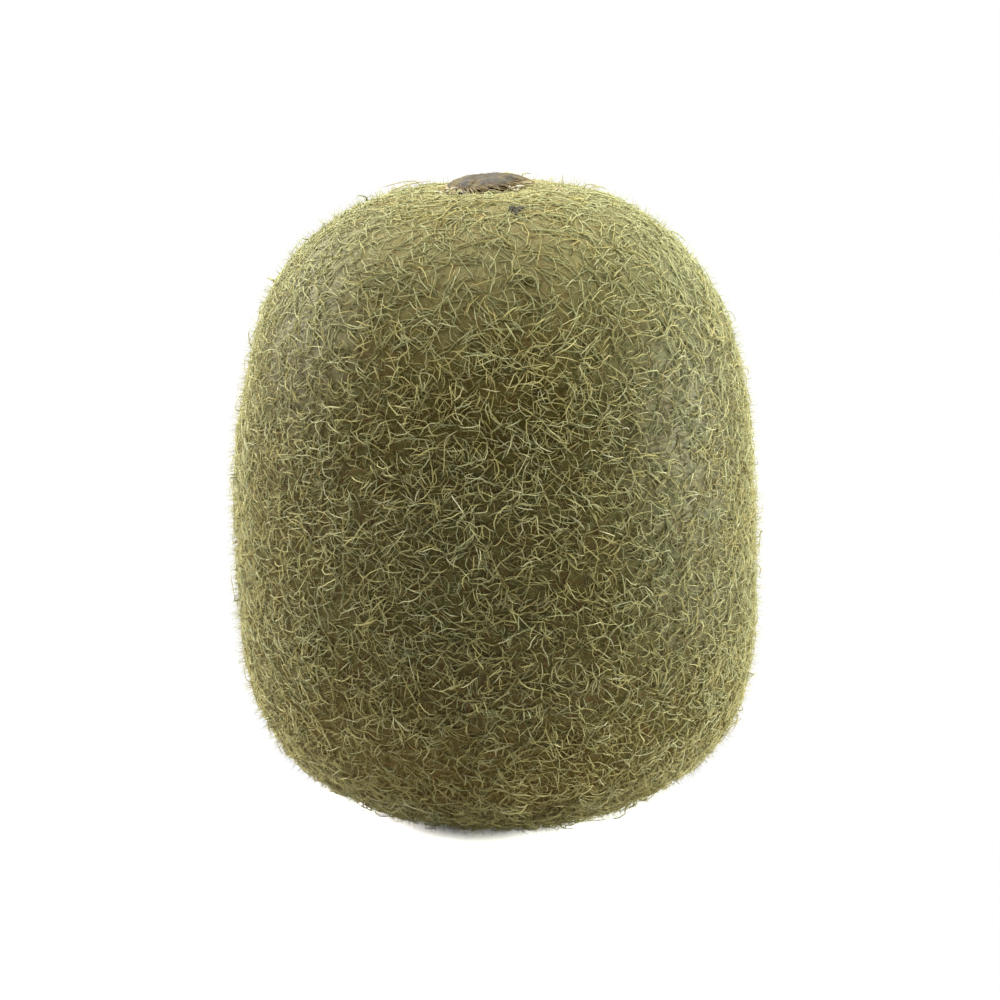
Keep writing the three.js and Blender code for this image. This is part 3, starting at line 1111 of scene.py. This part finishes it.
def floor_material():
    m = Nodes("floor_white", roughness=0.9, specular=0.1)
    place = m.add("ShaderNodeTexCoord").outputs["Object"]
    oval = m.vector("MULTIPLY_ADD", place, FLOOR_OVAL, FLOOR_SHIFT)["Vector"]
    away = m.vector("LENGTH", oval)["Value"]
    near = m.levels(away, *UNDER_FRUIT, FLOOR_UNDER, FLOOR_ROUND, SMOOTH)
    paper = m.levels(away, *ROUND_FRUIT, near, 0.0, SMOOTH)
    glow = m.levels(away, *ROUND_FRUIT, FLOOR_NEAR_GLOW, FLOOR_FAR_GLOW, SMOOTH)
    seen = m.add("ShaderNodeLightPath").outputs["Is Camera Ray"]
    paper = m.levels(seen, 0, 1, FLOOR_WHITE, paper)
    glow = m.levels(seen, 0, 1, 0.0, glow)
    m.set({"Base Color": paper, "Emission Strength": glow, "Emission Color": WHITE})
    return m.material


SKIN_DARK = (0.03, 0.024, 0.0025)
SKIN_OLIVE = (0.056, 0.047, 0.007)
SKIN_PALE = (0.086, 0.075, 0.016)
SKIN_RED = (0.07, 0.038, 0.009)
SKIN_GREY = (0.078, 0.069, 0.019)
SKIN_LINE = (0.12, 0.105, 0.035)
# The crown's skin is paler than the rest: painted light from above.
LIT_CROWN_OLIVE = (0.13, 0.113, 0.037)
LIT_CROWN_PALE = (0.188, 0.169, 0.075)
LIT_CROWN_RED = (0.125, 0.088, 0.031)
# The shoulders' skin is greyer besides: a painted sheen, over the painted light from above.
SHEEN_SHOULDER_OLIVE = (0.105, 0.093, 0.039)
SHEEN_SHOULDER_PALE = (0.154, 0.142, 0.074)
SKIN_FOOT = (1.27, 1.0, 0.72)  # warmer at the blossom end
SKIN_GREENER = (0.9, 1.0, 0.95)  # and greener on the right
SKIN_GLOSS = (1.0, 1.0, 0.75, 1)
SKIN_SHEEN = (0.7, 0.64, 0.38, 1)
MIDDLE_SKIN = (56, 44)  # heights in mm below which the middle's fine lines show
RED_SKIN = (60, 52)  # and the skin's red streaks
SKIN_BROAD = ((9, 2, 0.5, 0), 0.35, 0.65)
SKIN_FINE = ((0.9, 4, 0.65, 0.6), 0.3, 0.7)
SKIN_STREAKS = ((1.5, 3, 0.6, 2.0), 0.5, 0.62)
SKIN_RELIEF = (0.5, 4, 0.6, 0)
SKIN_RELIEF_HEIGHT = 0.05 * MM
GREY_SKIN = (0.2, 1.6)  # of the broad noise, where the skin turns grey
# Size in mm, and half width in units of the noise.
PALE_LINES = (1.5, 0.014)
DARK_LINES = (2.3, 0.01)
# Dark marks on the skin: where they are and how large, in mm.
MARKS = (
    (3.09, -17.93, 58.07, 0.9),
    (4.2, -17.8, 57.9, 0.7),
    (26.05, -3.45, 30.57, 0.9),
    (-19.3, -12.4, 52.4, 0.6),
    (12.2, 17.7, 41.0, 0.8),
    (-21.0, 11.0, 25.0, 0.7),
)
MARK_CORE = 0.3
MARK_WAVES = 1.6  # scale of the noise in their outlines
MEAN_NOISE = 0.5


def skin_colour(m, place):
    """The streaked and patchy skin. At the crown it is paler, painted light from above, and greyer at
    the shoulders, a painted sheen.
    """
    across, _, up = m.axes(place)
    fine = m.lumps(place, *SKIN_FINE)
    streaks = m.lumps(place, *SKIN_STREAKS)
    colour = m.ramp(fine, ((0, SKIN_DARK), (0.5, SKIN_OLIVE), (1, SKIN_PALE)))
    grey = m.levels(m.lumps(place, *SKIN_BROAD), *GREY_SKIN)
    colour = m.mix(grey, colour, SKIN_GREY)
    red = m.number("MULTIPLY", streaks, m.levels(up, *RED_SKIN))
    colour = m.mix(red, colour, SKIN_RED)
    # The crown's front: paler by painted light from above.
    front = m.mix(streaks, m.ramp(fine, ((0, LIT_CROWN_OLIVE), (1, LIT_CROWN_PALE))), LIT_CROWN_RED)
    # The shoulders: greyer by a painted sheen, and paler by painted light from above.
    shoulder = m.ramp(fine, ((0, SHEEN_SHOULDER_OLIVE), (1, SHEEN_SHOULDER_PALE)))
    aside = m.levels(m.number("ABSOLUTE", across), *in_mm(SHOULDERS))
    crown = m.mix(aside, front, shoulder)
    colour = m.mix(m.levels(up, *in_mm(STEM_HAIRS)), colour, crown)
    middle = m.levels(up, *MIDDLE_SKIN)
    for lines, line_colour in ((PALE_LINES, SKIN_LINE), (DARK_LINES, SKIN_DARK)):
        share = m.number("MULTIPLY", m.lines(place, *lines), middle)
        colour = m.mix(share, colour, line_colour)
    right = m.levels(across, *in_mm(GREEN_SIDE))
    colour = m.mix(right, colour, m.times(colour, SKIN_GREENER))
    foot = m.levels(up, *in_mm(FOOT_SKIN[::-1]))
    return m.mix(foot, colour, m.times(colour, SKIN_FOOT))


def in_mm(span):
    return [end / MM for end in span]


def skin_material():
    m = Nodes("kiwi_skin_look", roughness=0.45, specular=0.22)
    place = m.millimetres()
    colour = skin_colour(m, place)
    shift = m.add("ShaderNodeTexNoise", {"Vector": place, "Scale": MARK_WAVES}).outputs["Color"]
    wavy = m.vector("ADD", place, shift)["Vector"]
    for *middle, size in MARKS:
        away = m.vector("DISTANCE", wavy, [v + MEAN_NOISE for v in middle])["Value"]
        colour = m.mix(m.levels(away, size, size * MARK_CORE), colour, SKIN_DARK)
    m.bump(m.noise(place, *SKIN_RELIEF), SKIN_RELIEF_HEIGHT)
    m.set({"Base Color": colour, "Specular Tint": SKIN_GLOSS, "Sheen Tint": SKIN_SHEEN})
    m.set({"Sheen Weight": 0.25, "Sheen Roughness": 0.45})
    return m.material


HAIR_ALONG = (  # from root to tip
    (0, (0.3, 0.24, 0.085)),
    (0.25, (0.41, 0.39, 0.21)),
    (0.7, (0.41, 0.39, 0.21)),
    (1, (0.46, 0.448, 0.29)),
)
# What warm and cool hairs' colours are multiplied by, from the darkest hairs to the palest. The
# palest stops, near white, are painted glints.
HAIR_TINTS = (
    (0, (0.27, 0.22, 0.14), (0.27, 0.27, 0.2)),
    (0.25, (0.53, 0.44, 0.3), (0.51, 0.53, 0.43)),
    (0.5, (0.8, 0.74, 0.5), (0.77, 0.8, 0.68)),
    (0.75, (1.02, 0.97, 0.72), (0.98, 1.03, 0.97)),
    (0.92, (1.18, 1.13, 0.95), (1.15, 1.2, 1.24)),
    (1, (1.42, 1.4, 1.4), (1.42, 1.48, 1.75)),
)
WARM_START, COOL_START, HALF_MAP = 0.04, 0.52, 0.44  # where the map has them, and their width


def hair_material():
    """The colour depends only on the map: across it the tint, up it from root to tip."""
    m = Nodes("kiwi_hair_look", roughness=0.5, specular=0.3)
    across, up, _ = m.map_axes()
    warm = [(WARM_START + HALF_MAP * stop, tint) for stop, tint, _ in HAIR_TINTS]
    cool = [(COOL_START + HALF_MAP * stop, tint) for stop, _, tint in HAIR_TINTS]
    m.set({"Base Color": m.times(m.ramp(up, HAIR_ALONG), m.ramp(across, warm + cool))})
    return m.material


# The colour of the painted shade in splits, under the lip and in furrows, also given to the darker
# back.
WOOD_CREVICE = (0.085, 0.048, 0.026)
WOOD_DARK = (0.078, 0.062, 0.038)
WOOD_BROWN = (0.114, 0.092, 0.054)
WOOD_TAN = (0.165, 0.137, 0.082)
WOOD_GREY = (0.135, 0.126, 0.106)
WOOD_SLATE = (0.08, 0.075, 0.064)
WOOD_STRETCH = (0.4, 1.0, 1.5)  # the wood's streaks run along X
WOOD_FINE = ((0.4, 5, 0.65, 0.6), 0.25, 0.75)
WOOD_BROAD = ((2.2, 2, 0.5, 0.5), 0.42, 0.58)
CREVICES = (0.15, 0.9)  # of the darkening attribute, where the wood turns to the colour of its painted shade
WOOD_RELIEF_HEIGHT = 0.04 * MM


def wood_material():
    """Brown and tan wood with grey patches. It is darker in its splits, under the lip and in its
    furrows, which is painted shade, and darker at the back.
    """
    m = Nodes("stem_wood_look", roughness=0.85, specular=0.15)
    place = m.millimetres()
    stretched = m.vector("MULTIPLY", place, WOOD_STRETCH)["Vector"]
    fine = m.lumps(stretched, *WOOD_FINE)
    brown = m.ramp(fine, ((0, WOOD_DARK), (0.4, WOOD_BROWN), (1, WOOD_TAN)))
    grey = m.ramp(fine, ((0, WOOD_DARK), (0.5, WOOD_SLATE), (1, WOOD_GREY)))
    colour = m.mix(m.lumps(place, *WOOD_BROAD), brown, grey)
    # painted shade, and the darker back, from the button's attribute
    shade_and_darker_back = m.add("ShaderNodeAttribute", attribute_name="shade_and_darker_back").outputs["Fac"]
    m.set({"Base Color": m.mix(m.levels(shade_and_darker_back, *CREVICES), colour, WOOD_CREVICE)})
    m.bump(fine, WOOD_RELIEF_HEIGHT)
    return m.material


STRAW_ALONG = ((0, (0.6, 0.5, 0.4)), (0.35, (1, 1, 1)), (1, (1.1, 1.1, 1.1)))
STRAW_COLOURS = (
    (0, (0.04, 0.022, 0.012)),
    (0.3, (0.13, 0.085, 0.045)),
    (0.6, (0.33, 0.27, 0.15)),
    (0.82, (0.45, 0.4, 0.25)),
    (0.88, (0.46, 0.45, 0.38)),
    (1, (0.55, 0.55, 0.5)),
)


def straw_material():
    """Straw colours by the map, as the hairs have."""
    m = Nodes("straw_look", roughness=0.7, specular=0.2)
    across, up, _ = m.map_axes()
    m.set({"Base Color": m.times(m.ramp(up, STRAW_ALONG), m.ramp(across, STRAW_COLOURS))})
    return m.material


SPECK_BLACK = (0.014, 0.013, 0.011)
SPECK_GREY = (0.085, 0.08, 0.066)
SPECK_FINE = ((0.3, 4, 0.6, 0), 0.35, 0.65)


def speck_material():
    m = Nodes("speck_look", roughness=0.8, specular=0.2)
    fine = m.lumps(m.millimetres(), *SPECK_FINE)
    m.set({"Base Color": m.ramp(fine, ((0, SPECK_BLACK), (1, SPECK_GREY)))})
    return m.material


# ---- putting it together

add_camera()
add_floor()
add_lights()
add_world()

skin_piece, fruit_offset = build_skin()
skin_piece.data.materials.append(skin_material())
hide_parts("kiwi_fruit")

button = build_button(fruit_offset)
button.data.materials.append(wood_material())

ground = Skin(skin_piece)
straws = add_straws(ground, fruit_offset)
styles = add_bristles(fruit_offset)
straw_look = straw_material()
for piece in (straws, styles):
    piece.data.materials.append(straw_look)
speck = add_speck(ground)
speck.data.materials.append(speck_material())

hair_look = hair_material()
hairs = add_coat(ground) + add_under_coat(ground) + add_fuzz(ground)
for piece in hairs:
    piece.data.materials.append(hair_look)

for piece in [skin_piece, button, straws, styles, speck, *hairs]:
    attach(piece, "root")
